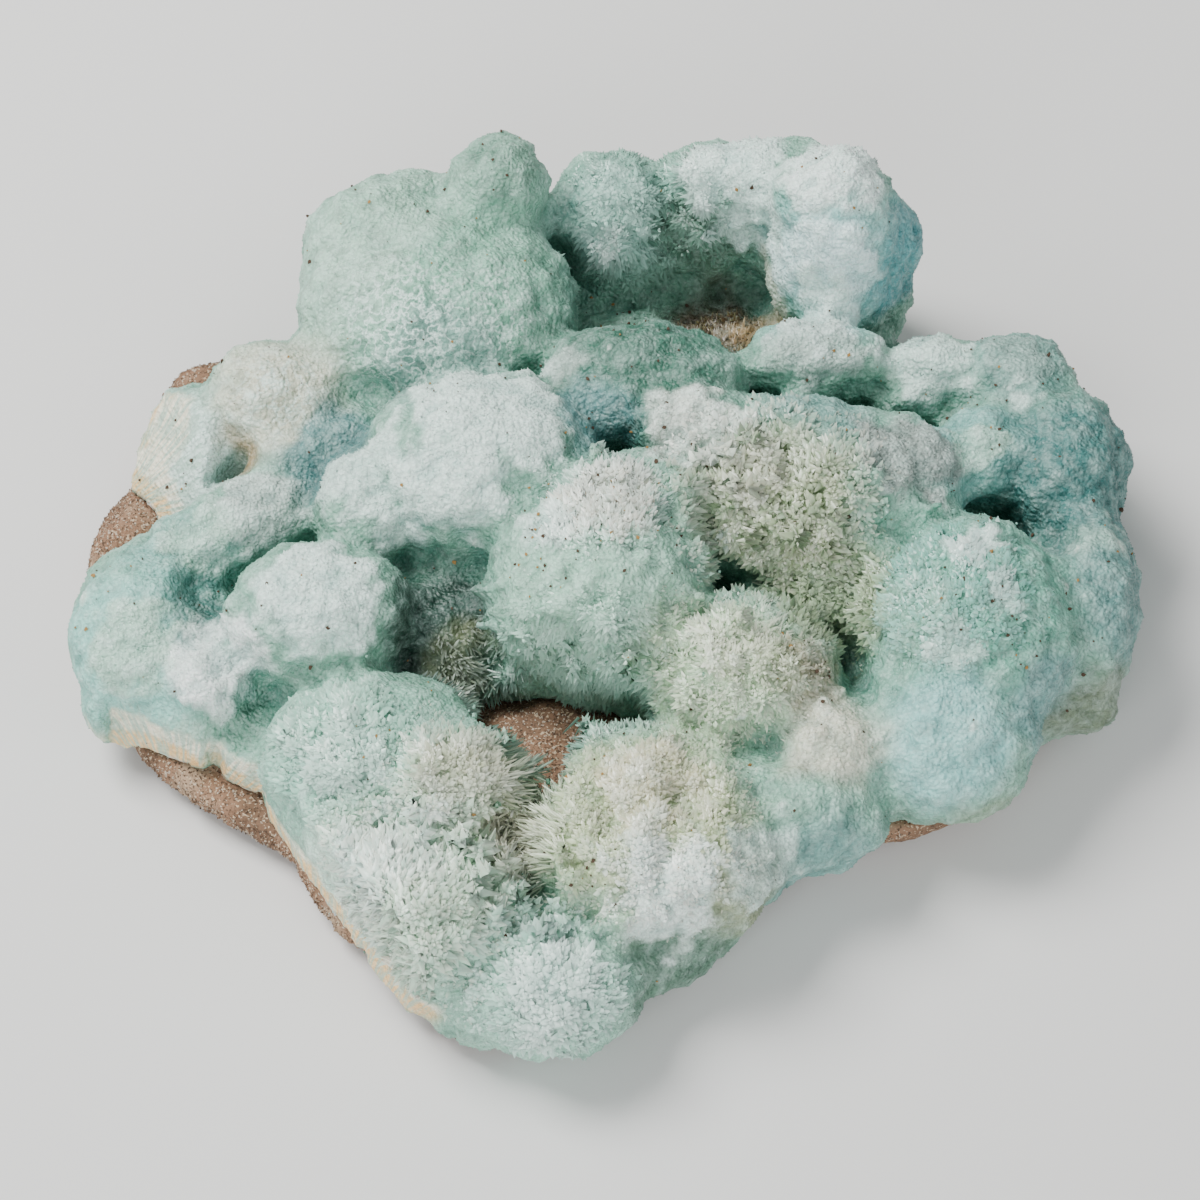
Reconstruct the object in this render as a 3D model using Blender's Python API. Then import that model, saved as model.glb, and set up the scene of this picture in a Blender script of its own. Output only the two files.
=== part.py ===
# Blue aragonite specimen: a crust of rounded lobes with needle and blade crystals in
# its gaps, grown together as one piece over a slab of brown sandy rock, its matrix.
# Metres, +Z up. The slab rests on z = 0 with the worn flat high spots of its broken
# underside, and the origin is the middle of the whole specimen's base.

import math
import random

import bmesh
import bpy
from mathutils import Matrix, Vector, noise
from mathutils.bvhtree import BVHTree

MM = 0.001

# The matrix slab, outline in mm seen from above, counter-clockwise from the left end
ROCK_TOP = 9 * MM
ROCK_EDGE_FALL = 2.5 * MM
ROCK_ROUGHNESS = 0.9 * MM
ROCK_GRAIN = 9 * MM
ROCK_VOXEL = 1.6 * MM
ROCK_TRIANGLES = 1000
ROCK_OUTLINE = (
    (-74, -12), (-71, -22), (-61, -34), (-53, -40), (-45, -44), (-36, -58), (-27, -67),
    (-20, -74), (-12, -75), (-3, -70), (10, -60), (22, -51), (33, -44), (44, -43),
    (53, -39), (61, -29), (69, -15), (70, 6), (62, 23), (47, 33), (41, 45), (26, 54),
    (5, 57), (-14, 55), (-30, 52), (-44, 42), (-56, 37), (-65, 33), (-68, 22),
    (-72, 13), (-76, 3),
)
ROCK_UNDERSIDE = 2 * MM
# The high spots that it rests on, as centre and half sizes, and where its top rises
ROCK_FEET = (
    ("foot_left", (-57, -8, 3), (12, 14, 6)),
    ("foot_front", (-14, -61, 3), (11, 10, 6)),
    ("foot_right", (52, -14, 3), (13, 15, 6)),
    ("foot_rear", (8, 43, 3), (20, 10, 6)),
)
ROCK_RISES = (
    ("behind_fan", (-58, 26, 6), (9, 10, 14)),
    ("beside_fan", (-68, 8, 4), (7, 8, 7)),
    ("window_floor", (-7, -32, 4), (16, 13, 7)),
)

# The footing of the crust, outline in mm, and the heights that it spans
FOOTING_LOW = 3 * MM
FOOTING_HIGH = 13 * MM
FOOTING_OUTLINE = (
    (-73, -16), (-68, -27), (-56, -34), (-47, -38), (-44, -44), (-37, -56), (-28, -67),
    (-20, -75), (-8, -77), (-1, -74), (7, -65), (17, -59), (26, -51), (34, -42),
    (44, -41), (54, -37), (60, -30), (71, -24), (74, -8), (74, 8), (68, 24), (56, 31),
    (47, 37), (44, 47), (28, 56), (6, 60), (-12, 57), (-30, 55), (-43, 47), (-50, 34),
    (-58, 26), (-62, 12), (-64, 3), (-72, -4),
)

# The lobes of the crust: centre and half sizes in mm, and the turn about Z in degrees
LOBES = (
    ("back_dome", (-24, 36, 26), (21, 16, 12), 0),
    ("back_ridge", (-31, 47, 27), (14, 10, 11), 12),
    ("back_knob", (-15, 51, 36), (7, 7, 7), 0),
    ("back_shoulder", (-40, 43, 24), (5, 9, 9), 0),
    ("hollow_wall_left", (2, 55, 24), (10, 9, 11), 0),
    ("hollow_wall_right", (16, 57, 23), (10, 9, 12), 0),
    ("pillar", (35, 46, 26), (10, 12, 20), 0),
    ("pillar_top", (25, 54, 34), (14, 6, 6), 0),
    ("pillar_crown", (34, 46, 39), (9, 7, 6), 0),
    ("pillar_bulge", (44, 47, 28), (4, 5, 5), 0),
    ("pillar_foot", (31, 27, 24), (11, 6, 6), 0),
    ("right_step", (49, 27, 22), (7, 5, 5), 0),
    ("right_step_low", (47, 22, 20), (6, 3, 3), 0),
    ("right_crest", (61, 25, 21), (10, 7, 7), -10),
    ("right_rim_upper", (67, 11, 18), (10, 13, 12), 0),
    ("right_rim_lower", (69, -8, 14), (8, 18, 13), 0),
    ("right_inner", (56, 11, 21), (9, 8, 8), 0),
    ("right_corner", (70, -21, 8), (4, 6, 5), 0),
    ("right_front_dome", (52, -17, 19), (16, 17, 14), 0),
    ("right_front_foot", (48, -31, 14), (14, 14, 12), 0),
    ("crest", (29, 4, 22), (24, 15, 12), -12),
    ("crest_cap", (14, 11, 29), (9, 6, 5), 0),
    ("crest_end", (43, 6, 24), (9, 10, 8), 0),
    ("centre_dome", (0, -13, 22), (16, 16, 15), 0),
    ("centre_cap", (3, -3, 28), (12, 8, 7), 0),
    ("low_dome", (20, -25, 19), (14, 11, 10), 0),
    ("low_button", (32, -36, 17), (8, 8, 7), 0),
    ("front_dome", (7, -49, 14), (19, 17, 12), 0),
    ("front_flank", (26, -45, 13), (14, 8, 9), 0),
    ("front_ledge", (7, -60, 12), (12, 6, 5), 20),
    ("front_skirt", (9, -62, 7), (12, 6, 6), 34),
    ("tip", (-6, -69, 9), (12, 10, 10), 0),
    ("tip_left", (-16, -71, 8), (6, 6, 6), 0),
    ("fore_left", (-31, -38, 15), (16, 14, 12), 0),
    ("fore_left_knob", (-20, -44, 19), (10, 9, 9), 0),
    ("brush_lower", (-23, -60, 13), (14, 12, 11), 0),
    ("brush_side", (-35, -52, 12), (8, 9, 8), 0),
    ("white_left", (-40, -16, 21), (14, 10, 9), 4),
    ("white_small", (-55, -25, 16), (6, 6, 6), 0),
    ("left_body", (-64, -14, 12), (12, 15, 12), 0),
    ("left_body_low", (-64, -23, 10), (10, 8, 8), 0),
    ("left_ridge", (-52, 2, 17), (14, 7, 6), 22),
    ("white_dome", (-17, 7, 25), (17, 14, 12), 0),
    ("white_mid", (-33, 2, 22), (8, 9, 8), -20),
    ("saddle", (-39, 14, 19), (13, 7, 6), 22),
    ("cream_dome", (-47, 22, 19), (12, 10, 10), 0),
    ("fan", (-61, 16, 13), (8, 13, 12), -24),
    ("smooth_dome", (6, 21, 26), (15, 10, 8), 0),
    ("gap_floor", (-23, -12, 13), (9, 10, 6), 0),
    ("crest_foot", (33, -9, 15), (12, 9, 9), 0),
    ("hollow_floor_left", (6, 38, 12), (8, 6, 5), 10),
    ("hollow_floor_right", (20, 38, 12), (8, 6, 4), -15),
    ("rear_left_low", (-33, 52, 13), (12, 8, 9), 10),
    ("rear_mid_low", (-10, 56, 13), (13, 8, 10), 0),
    ("rear_right_low", (17, 59, 12), (13, 8, 9), -6),
    ("rear_pillar_low", (38, 52, 13), (9, 8, 9), -30),
    ("rear_notch_low", (55, 31, 11), (9, 6, 7), -20),
)
LOBE_DIVISIONS = 3
CRUST_VOXEL = 1.3 * MM
CRUST_TRIANGLES = 4500
CRUST_LOWEST = 1.5 * MM
LUMP_HEIGHT = 0.9 * MM
LUMP_SPACING = 9 * MM

# Hollows in the lobes, as the middle in mm, the radius and the depth
PITS = (
    ("dome_pit_left", (42, -8, 31), 4.5, 2.5),
    ("dome_pit_right", (49, -3, 32), 3.5, 2.0),
    ("dome_pit_low", (45, -17, 33), 3.5, 1.8),
    ("front_pit_left", (2, -51, 26), 4.0, 2.0),
    ("front_pit_right", (12, -48, 26), 4.0, 2.0),
    ("front_pit_low", (9, -56, 24), 3.5, 1.8),
    ("crest_pit", (26, 3, 34), 4.5, 2.2),
    ("left_crevice", (-54, -11, 22), 5.0, 3.5),
    ("rim_groove", (63, -6, 24), 4.5, 3.0),
)

# The window in the crust down to the bare rock, outline in mm
WINDOW_OUTLINE = (
    (-19, -22), (-9, -23), (6, -27), (7, -32), (-2, -37), (-5, -46), (-10, -48),
    (-13, -41), (-19, -32),
)

# Where the crust was broken off: a point on the face and the way it faces, in mm
BREAKS = (
    ("long_edge", (-33.5, -60.5, 5), (-0.79, -0.59, 0.14)),
    ("left_edge", (-58, -33, 6), (-0.42, -0.88, 0.20)),
    ("fan_face", (-66, 16, 14), (-0.72, -0.34, 0.60)),
)
BREAK_SIZES = ((70, 40), (26, 40), (30, 40))

CRUST_GAP = 0.4 * MM

# Crystals fused to the lobes: the lobe, the first and last bearing round it in degrees
# (0 is +X, counter-clockwise), the lowest and highest rise above its middle, how many,
# the length and the width in mm, and how much they lean up
CRYSTAL_ROWS = (
    ("spike", "centre_dome", (180, 355), (-8, 28), 44, 5.0, 3.0, 0.0),
    ("spike", "centre_dome", (195, 345), (30, 65), 18, 2.6, 2.8, 0.1),
    ("spike", "fore_left_knob", (-80, 80), (-8, 40), 20, 4.0, 2.8, 0.1),
    ("spike", "front_dome", (90, 195), (0, 40), 24, 4.0, 2.8, 0.1),
    ("spike", "low_dome", (170, 370), (0, 65), 40, 3.2, 2.8, 0.1),
    ("blade", "crest", (150, 330), (20, 78), 36, 3.2, 3.2, 0.3),
    ("blade", "brush_lower", (-30, 100), (10, 65), 24, 4.6, 3.0, 0.5),
    ("blade", "tip", (20, 150), (15, 65), 18, 4.2, 3.2, 0.5),
    ("blade", "hollow_wall_left", (200, 340), (-5, 45), 12, 3.5, 3.2, 0.3),
    ("blade", "hollow_wall_right", (200, 320), (-5, 45), 12, 3.5, 3.2, 0.3),
    ("spike", "front_dome", (200, 340), (25, 75), 18, 1.8, 3.0, 0.2),
    ("spike", "white_left", (-60, 20), (-10, 20), 10, 3.2, 2.6, 0.0),
    ("spike", "front_flank", (30, 120), (20, 60), 10, 2.4, 2.8, 0.2),
)
CRYSTAL_ROOT = 1.6 * MM
CRYSTAL_SPACING = 1.05
CRYSTAL_CLEARANCE = 0.5 * MM
CRYSTAL_TRIES = 60
SEED = 17

ROCK_COLOUR = (0.36, 0.27, 0.19, 1)
ROCK_SURFACE = (0.9, 0.0)
CRUST_COLOUR = (0.46, 0.63, 0.56, 1)
CRUST_SURFACE = (0.45, 0.0)


def clear_scene():
    for obj in list(bpy.data.objects):
        bpy.data.objects.remove(obj, do_unlink=True)


def scaled(point):
    return Vector(point) * MM


def make_object(name, bm):
    mesh = bpy.data.meshes.new(name)
    bm.to_mesh(mesh)
    bm.free()
    obj = bpy.data.objects.new(name, mesh)
    bpy.context.collection.objects.link(obj)
    return obj


def apply_modifiers(obj):
    depsgraph = bpy.context.evaluated_depsgraph_get()
    mesh = bpy.data.meshes.new_from_object(obj.evaluated_get(depsgraph))
    obj.modifiers.clear()
    obj.data = mesh


def combine(obj, other, operation):
    """Cut or join two closed solids, and use up the second one."""
    boolean = obj.modifiers.new(operation.lower(), "BOOLEAN")
    boolean.operation = operation
    boolean.solver = "EXACT"
    boolean.object = other
    apply_modifiers(obj)
    bpy.data.objects.remove(other, do_unlink=True)


def remesh(obj, voxel_size):
    modifier = obj.modifiers.new("fuse", "REMESH")
    modifier.mode = "VOXEL"
    modifier.voxel_size = voxel_size
    apply_modifiers(obj)


def thin_out(obj, triangles):
    bm = bmesh.new()
    bm.from_mesh(obj.data)
    bmesh.ops.triangulate(bm, faces=bm.faces)
    bm.to_mesh(obj.data)
    bm.free()
    modifier = obj.modifiers.new("thin_out", "DECIMATE")
    modifier.ratio = triangles / len(obj.data.polygons)
    apply_modifiers(obj)


def add_prism(bm, outline, low, high):
    """A closed prism over an outline given in mm, between two heights."""
    corners = [bm.verts.new((x * MM, y * MM, low)) for x, y in outline]
    floor = bm.faces.new(corners)
    floor.normal_update()
    if floor.normal.z < 0:
        floor.normal_flip()
    lifted = bmesh.ops.extrude_face_region(bm, geom=[floor])
    top = [part for part in lifted["geom"] if isinstance(part, bmesh.types.BMVert)]
    bmesh.ops.translate(bm, verts=top, vec=(0, 0, high - low))


def add_lobe(bm, centre, half_sizes, turn=0.0, foot=None):
    """An ellipsoid in mm. With a foot height, its lower half reaches down to that."""
    made = bmesh.ops.create_icosphere(bm, subdivisions=LOBE_DIVISIONS, radius=1)
    wide, deep, high = half_sizes
    below = high if foot is None else max(high, centre[2] - foot)
    for vert in made["verts"]:
        vert.co.z *= high if vert.co.z > 0 else below
    matrix = Matrix.Translation(scaled(centre)) @ Matrix.Rotation(math.radians(turn), 4, "Z")
    matrix = matrix @ Matrix.Diagonal((wide * MM, deep * MM, MM, 1))
    bmesh.ops.transform(bm, matrix=matrix, verts=made["verts"])


def roughen(obj, height, spacing, seed_shift, octaves=3):
    """Push the surface in and out along its normals by smooth seeded noise."""
    mesh = obj.data
    normals = [vert.normal.copy() for vert in mesh.vertices]
    shift = Vector((seed_shift, seed_shift * 0.37, seed_shift * 0.71))
    for vert, normal in zip(mesh.vertices, normals):
        place = vert.co / spacing + shift
        vert.co += normal * height * noise.fractal(place, 1.0, 2.0, octaves)
    mesh.update()


def press_pits(obj):
    mesh = obj.data
    normals = [vert.normal.copy() for vert in mesh.vertices]
    for vert, normal in zip(mesh.vertices, normals):
        push = 0.0
        for _, middle, radius, depth in PITS:
            near = (vert.co - scaled(middle)).length / (radius * MM * 1.6)
            if near < 1:
                push = max(push, depth * MM * (1 - near * near) ** 2)
        vert.co -= normal * push
    mesh.update()


def box_at(name, point, facing, sizes):
    """A cutter box that lies on the outer side of a break face."""
    bm = bmesh.new()
    length, height = sizes
    bmesh.ops.create_cube(bm, size=1)
    bmesh.ops.scale(bm, vec=(length * MM, height * MM, height * MM), verts=bm.verts)
    bmesh.ops.translate(bm, vec=(0, 0, height * MM / 2), verts=bm.verts)
    turn = Vector(facing).normalized().to_track_quat("Z", "Y").to_matrix().to_4x4()
    bmesh.ops.transform(bm, matrix=Matrix.Translation(scaled(point)) @ turn, verts=bm.verts)
    return make_object(name, bm)


def slab_cutter(name, low, high):
    bm = bmesh.new()
    bmesh.ops.create_cube(bm, size=1)
    bmesh.ops.scale(bm, vec=(400 * MM, 400 * MM, high - low), verts=bm.verts)
    bmesh.ops.translate(bm, vec=(0, 0, (low + high) / 2), verts=bm.verts)
    return make_object(name, bm)


def keep_largest_piece(obj):
    """Drop chips that the cuts have parted from the main body."""
    bm = bmesh.new()
    bm.from_mesh(obj.data)
    unseen = set(bm.verts)
    pieces = []
    while unseen:
        first = unseen.pop()
        piece = {first}
        edge_of_piece = [first]
        while edge_of_piece:
            for edge in edge_of_piece.pop().link_edges:
                for vert in edge.verts:
                    if vert in unseen:
                        unseen.remove(vert)
                        piece.add(vert)
                        edge_of_piece.append(vert)
        pieces.append(piece)
    largest = max(pieces, key=len)
    chips = [vert for vert in bm.verts if vert not in largest]
    bmesh.ops.delete(bm, geom=chips, context="VERTS")
    bm.to_mesh(obj.data)
    bm.free()


def make_material(name, colour, surface):
    material = bpy.data.materials.new(name)
    material.use_nodes = True
    shader = material.node_tree.nodes["Principled BSDF"]
    shader.inputs["Base Color"].default_value = colour
    shader.inputs["Roughness"].default_value = surface[0]
    shader.inputs["Metallic"].default_value = surface[1]
    material.diffuse_color = colour
    return material


def make_rock():
    """The matrix: a broken slab on flat high spots, uneven and raised at the left."""
    bm = bmesh.new()
    add_prism(bm, ROCK_OUTLINE, ROCK_UNDERSIDE, ROCK_TOP - ROCK_EDGE_FALL)
    for _, centre, half_sizes in ROCK_RISES + ROCK_FEET:
        add_lobe(bm, centre, half_sizes)
    rock = make_object("matrix_rock", bm)
    remesh(rock, ROCK_VOXEL)
    keep_largest_piece(rock)
    roughen(rock, ROCK_ROUGHNESS, ROCK_GRAIN, 3.1, 4)
    thin_out(rock, ROCK_TRIANGLES)
    combine(rock, slab_cutter("under_rock", -30 * MM, 0), "DIFFERENCE")
    keep_largest_piece(rock)
    return rock


def make_crust_body():
    """The lobes on their footing, fused, with the pits, the window and the breaks."""
    bm = bmesh.new()
    add_prism(bm, FOOTING_OUTLINE, FOOTING_LOW, FOOTING_HIGH)
    for _, centre, half_sizes, turn in LOBES:
        add_lobe(bm, centre, half_sizes, turn, foot=FOOTING_LOW / MM)
    crust = make_object("aragonite_crust", bm)
    remesh(crust, CRUST_VOXEL)
    keep_largest_piece(crust)
    roughen(crust, LUMP_HEIGHT, LUMP_SPACING, 7.3)
    press_pits(crust)
    remesh(crust, CRUST_VOXEL)
    keep_largest_piece(crust)
    thin_out(crust, CRUST_TRIANGLES)

    bm = bmesh.new()
    add_prism(bm, WINDOW_OUTLINE, -5 * MM, 60 * MM)
    combine(crust, make_object("window_cutter", bm), "DIFFERENCE")
    for (name, point, facing), sizes in zip(BREAKS, BREAK_SIZES):
        combine(crust, box_at(name, point, facing, sizes), "DIFFERENCE")
    return crust


def seat_on_rock(crust, rock):
    """Cut the rock's own shape, a gap larger, out of the crust's underside."""
    bm = bmesh.new()
    bm.from_mesh(rock.data)
    for vert in bm.verts:
        vert.co += vert.normal * CRUST_GAP
    combine(crust, make_object("rock_seat", bm), "DIFFERENCE")
    combine(crust, slab_cutter("below_crust", -30 * MM, CRUST_LOWEST), "DIFFERENCE")
    keep_largest_piece(crust)


def add_spike(bm, length, width, spin):
    made = bmesh.ops.create_cone(
        bm, cap_ends=True, segments=3, radius1=width / 2, radius2=0, depth=length
    )
    bmesh.ops.translate(bm, vec=(0, 0, length / 2), verts=made["verts"])
    bmesh.ops.rotate(bm, matrix=Matrix.Rotation(spin, 3, "Z"), verts=made["verts"])
    return made["verts"]


def add_blade(bm, length, width, spin):
    made = bmesh.ops.create_cube(bm, size=1)["verts"]
    bmesh.ops.scale(bm, vec=(width, width * 0.45, length), verts=made)
    bmesh.ops.translate(bm, vec=(0, 0, length / 2), verts=made)
    for vert in made:
        if vert.co.z > length / 2:
            vert.co.y = 0
            vert.co.x *= 0.55
    top = [vert for vert in made if vert.co.z > length / 2]
    bmesh.ops.remove_doubles(bm, verts=top, dist=0.01 * MM)
    made = [vert for vert in made if vert.is_valid]
    bmesh.ops.rotate(bm, matrix=Matrix.Rotation(spin, 3, "Z"), verts=made)
    return made


CRYSTAL_SHAPES = {"spike": add_spike, "blade": add_blade}


def grow_crystals(crust, rock):
    """Fuse flat-faced crystals to the lobes, clear of each other and of the rock."""
    rng = random.Random(SEED)
    crust_tree = BVHTree.FromObject(crust, bpy.context.evaluated_depsgraph_get())
    rock_tree = BVHTree.FromObject(rock, bpy.context.evaluated_depsgraph_get())
    lobes = {name: (scaled(centre), half_sizes) for name, centre, half_sizes, _ in LOBES}
    placed = []
    bm = bmesh.new()
    for kind, lobe, bearings, rises, count, length_mm, width_mm, lean in CRYSTAL_ROWS:
        centre, half_sizes = lobes[lobe]
        reach = max(half_sizes) * MM
        grown = 0
        for _ in range(CRYSTAL_TRIES * count):
            if grown == count:
                break
            bearing = math.radians(rng.uniform(*bearings))
            rise = math.radians(rng.uniform(*rises))
            outward = Vector((
                math.cos(bearing) * math.cos(rise) * half_sizes[0],
                math.sin(bearing) * math.cos(rise) * half_sizes[1],
                math.sin(rise) * half_sizes[2],
            )).normalized()
            length = length_mm * MM * rng.uniform(0.75, 1.25)
            width = width_mm * MM * rng.uniform(0.8, 1.2)
            spin = rng.uniform(0, math.pi)
            foot, normal, _, _ = crust_tree.ray_cast(centre + outward * reach * 1.6, -outward)
            if foot is None or (foot - centre).length > reach * 1.35:
                continue
            axis = (outward * 0.5 + normal * 0.5 + Vector((0, 0, lean))).normalized()
            root = foot - normal * CRYSTAL_ROOT
            tip = root + axis * (length + CRYSTAL_ROOT)
            clear_of_rock = all(
                rock_tree.find_nearest(place)[3] > thickness + CRYSTAL_CLEARANCE
                for place, thickness in ((root, width / 2), (foot, width / 2), (tip, 0))
            )
            if not clear_of_rock:
                continue
            if any((foot - other).length < (width + wide) / 2 * CRYSTAL_SPACING
                   or (tip - far).length < (width + wide) / 4 for other, far, wide in placed):
                continue
            placed.append((foot, tip, width))
            verts = CRYSTAL_SHAPES[kind](bm, length + CRYSTAL_ROOT, width, spin)
            turn = axis.to_track_quat("Z", "Y").to_matrix().to_4x4()
            bmesh.ops.transform(bm, matrix=Matrix.Translation(root) @ turn, verts=verts)
            grown += 1
    combine(crust, make_object("crystals", bm), "UNION")
    keep_largest_piece(crust)


def centre_on_base(objects):
    """Put the origin under the middle of the whole, at the height of its base."""
    corners = [vert.co for obj in objects for vert in obj.data.vertices]
    low = Vector(min(corner[axis] for corner in corners) for axis in range(3))
    high = Vector(max(corner[axis] for corner in corners) for axis in range(3))
    shift = Vector(((low.x + high.x) / 2, (low.y + high.y) / 2, low.z))
    for obj in objects:
        obj.data.transform(Matrix.Translation(-shift))


def finish(obj, material):
    obj.data.materials.clear()
    obj.data.materials.append(material)
    obj.data.update()


clear_scene()
matrix_rock = make_rock()
aragonite_crust = make_crust_body()
seat_on_rock(aragonite_crust, matrix_rock)
grow_crystals(aragonite_crust, matrix_rock)
centre_on_base((matrix_rock, aragonite_crust))
finish(matrix_rock, make_material("sandy_rock", ROCK_COLOUR, ROCK_SURFACE))
finish(aragonite_crust, make_material("blue_aragonite", CRUST_COLOUR, CRUST_SURFACE))
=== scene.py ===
import math

import bmesh
import bpy
import numpy as np
from mathutils import Matrix, Vector, noise
from mathutils.bvhtree import BVHTree


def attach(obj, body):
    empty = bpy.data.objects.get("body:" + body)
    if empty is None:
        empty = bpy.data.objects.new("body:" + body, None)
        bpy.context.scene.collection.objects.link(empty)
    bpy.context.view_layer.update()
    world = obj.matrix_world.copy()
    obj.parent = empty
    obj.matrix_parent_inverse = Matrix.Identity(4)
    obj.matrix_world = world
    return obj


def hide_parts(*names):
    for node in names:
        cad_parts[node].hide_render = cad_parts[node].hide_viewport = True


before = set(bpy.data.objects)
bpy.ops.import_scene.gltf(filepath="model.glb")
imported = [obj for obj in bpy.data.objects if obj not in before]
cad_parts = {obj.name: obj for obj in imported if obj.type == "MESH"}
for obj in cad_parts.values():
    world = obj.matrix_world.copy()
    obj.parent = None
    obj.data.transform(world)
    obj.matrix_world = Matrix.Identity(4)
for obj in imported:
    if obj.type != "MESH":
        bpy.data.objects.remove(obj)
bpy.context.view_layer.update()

# The matrix: one broken slab of brown, porous, sandy rock that the crust grew on. It is
# bare in the crust's window and at the left, and its broken face is rough with grains.
MM = 0.001
ROCK_VOXEL = 1.0 * MM
ROCK_ROUNDING = 4
ROCK_LUMP = 3.5 * MM
ROCK_PIT = 1.2 * MM
ROCK_CLOUD = 9 * MM
ROCK_BUMP_DEPTH = 0.35 * MM
ROCK_BROWN = (141, 110, 88)
ROCK_DARK = (84, 68, 56)
ROCK_PALE = (190, 170, 144)
# How often the rock's dark grains, pale grains and roughness repeat in a metre
DARK_GRAIN_SCALE = 2600
PALE_GRAIN_SCALE = 2100
ROCK_BUMP_SCALE = 1500


def linear(colour):
    """A display colour, 0 to 255, as linear light with full alpha."""
    parts = np.asarray(colour, float) / 255
    parts = np.where(parts <= 0.04045, parts / 12.92, ((parts + 0.055) / 1.055) ** 2.4)
    return np.append(parts, 1.0)


def apply_modifiers(obj):
    """Makes what an object's modifiers give its own mesh."""
    graph = bpy.context.evaluated_depsgraph_get()
    mesh = bpy.data.meshes.new_from_object(obj.evaluated_get(graph))
    obj.modifiers.clear()
    obj.data = mesh


def refined_copy(node, name, voxel, smoothing):
    """A merged copy of a CAD node, remeshed evenly and with its facets rounded off."""
    bm = bmesh.new()
    bm.from_mesh(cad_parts[node].data)
    bmesh.ops.remove_doubles(bm, verts=bm.verts, dist=0.001 * MM)
    mesh = bpy.data.meshes.new(name)
    bm.to_mesh(mesh)
    bm.free()
    obj = bpy.data.objects.new(name, mesh)
    bpy.context.collection.objects.link(obj)
    remesh = obj.modifiers.new("even", "REMESH")
    remesh.mode = "VOXEL"
    remesh.voxel_size = voxel
    remesh.use_smooth_shade = True
    smooth = obj.modifiers.new("round", "SMOOTH")
    smooth.factor = 0.5
    smooth.iterations = smoothing
    apply_modifiers(obj)
    return obj


def read(mesh, what):
    """A mesh's vertex places ("co") or normals ("normal") as rows of three."""
    values = np.empty(len(mesh.vertices) * 3, np.float32)
    mesh.vertices.foreach_get(what, values)
    return values.reshape(-1, 3).astype(float)


def write_places(mesh, places):
    mesh.vertices.foreach_set("co", places.astype(np.float32).ravel())
    mesh.update()


def paint(mesh, name, colours):
    """Keeps linear colours, one row of four for each vertex, as an attribute."""
    layer = mesh.color_attributes.new(name, "FLOAT_COLOR", "POINT")
    layer.data.foreach_set("color", np.asarray(colours, np.float32).ravel())


def fractal(places, size, octaves, shift=0.0):
    """Smooth noise at each place, about -1 to 1, with lumps of the given size."""
    points = (places / size + shift).tolist()
    return np.array([noise.fractal(point, 1.0, 2.0, octaves) for point in points])


def mix(first, second, share):
    """First where the share is 0, second where it is 1, and between them elsewhere."""
    share = np.clip(np.asarray(share, float), 0, 1)[..., None]
    return first * (1 - share) + second * share


def step(values, low, high):
    """0 below low, 1 above high, and a smooth ramp between."""
    ramp = np.clip((values - low) / (high - low), 0, 1)
    return ramp * ramp * (3 - 2 * ramp)


def painted(nodes, name):
    """The colours that a mesh keeps under that name."""
    layer = nodes.new("ShaderNodeVertexColor")
    layer.layer_name = name
    return layer.outputs["Color"]


def noise_node(nodes, links, place, scale, detail):
    texture = nodes.new("ShaderNodeTexNoise")
    texture.inputs["Scale"].default_value = scale
    texture.inputs["Detail"].default_value = detail
    links.new(place, texture.inputs["Vector"])
    return texture.outputs["Fac"]


def ramp_node(nodes, links, value, low, high, first=0.0, last=1.0):
    ramp = nodes.new("ShaderNodeMapRange")
    ramp.inputs["From Min"].default_value = low
    ramp.inputs["From Max"].default_value = high
    ramp.inputs["To Min"].default_value = first
    ramp.inputs["To Max"].default_value = last
    links.new(value, ramp.inputs["Value"])
    return ramp.outputs["Result"]


def feed(links, value, socket):
    """Gives a socket its value, which is another node's output or is fixed."""
    if isinstance(value, bpy.types.NodeSocket):
        links.new(value, socket)
    else:
        socket.default_value = value


def blend_node(nodes, links, share, first, second, kind="MIX"):
    """A colour mix. Each side is a socket, or a fixed linear colour."""
    blend = nodes.new("ShaderNodeMix")
    blend.data_type = "RGBA"
    blend.blend_type = kind
    feed(links, share, blend.inputs[0])
    feed(links, first, blend.inputs[6])
    feed(links, second, blend.inputs[7])
    return blend.outputs[2]


def new_material(name):
    material = bpy.data.materials.new(name)
    material.use_nodes = True
    tree = material.node_tree
    return material, tree.nodes, tree.links, tree.nodes["Principled BSDF"]


def bump_node(nodes, links, shader, height, strength, distance):
    bump = nodes.new("ShaderNodeBump")
    bump.inputs["Strength"].default_value = strength
    bump.inputs["Distance"].default_value = distance
    links.new(height, bump.inputs["Height"])
    links.new(bump.outputs["Normal"], shader.inputs["Normal"])


def sandy_rock_material():
    material, nodes, links, shader = new_material("sandy_rock")
    place = nodes.new("ShaderNodeTexCoord").outputs["Object"]
    dark = noise_node(nodes, links, place, DARK_GRAIN_SCALE, 2)
    dark = ramp_node(nodes, links, dark, 0.56, 0.64)
    pale = noise_node(nodes, links, place, PALE_GRAIN_SCALE, 1)
    pale = ramp_node(nodes, links, pale, 0.60, 0.68)
    colour = blend_node(nodes, links, dark, painted(nodes, "tint"), tuple(linear(ROCK_DARK)))
    colour = blend_node(nodes, links, pale, colour, tuple(linear(ROCK_PALE)))
    links.new(colour, shader.inputs["Base Color"])
    shader.inputs["Roughness"].default_value = 0.92
    shader.inputs["Specular IOR Level"].default_value = 0.25
    rough = noise_node(nodes, links, place, ROCK_BUMP_SCALE, 4)
    bump_node(nodes, links, shader, rough, 0.8, ROCK_BUMP_DEPTH)
    return material


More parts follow.
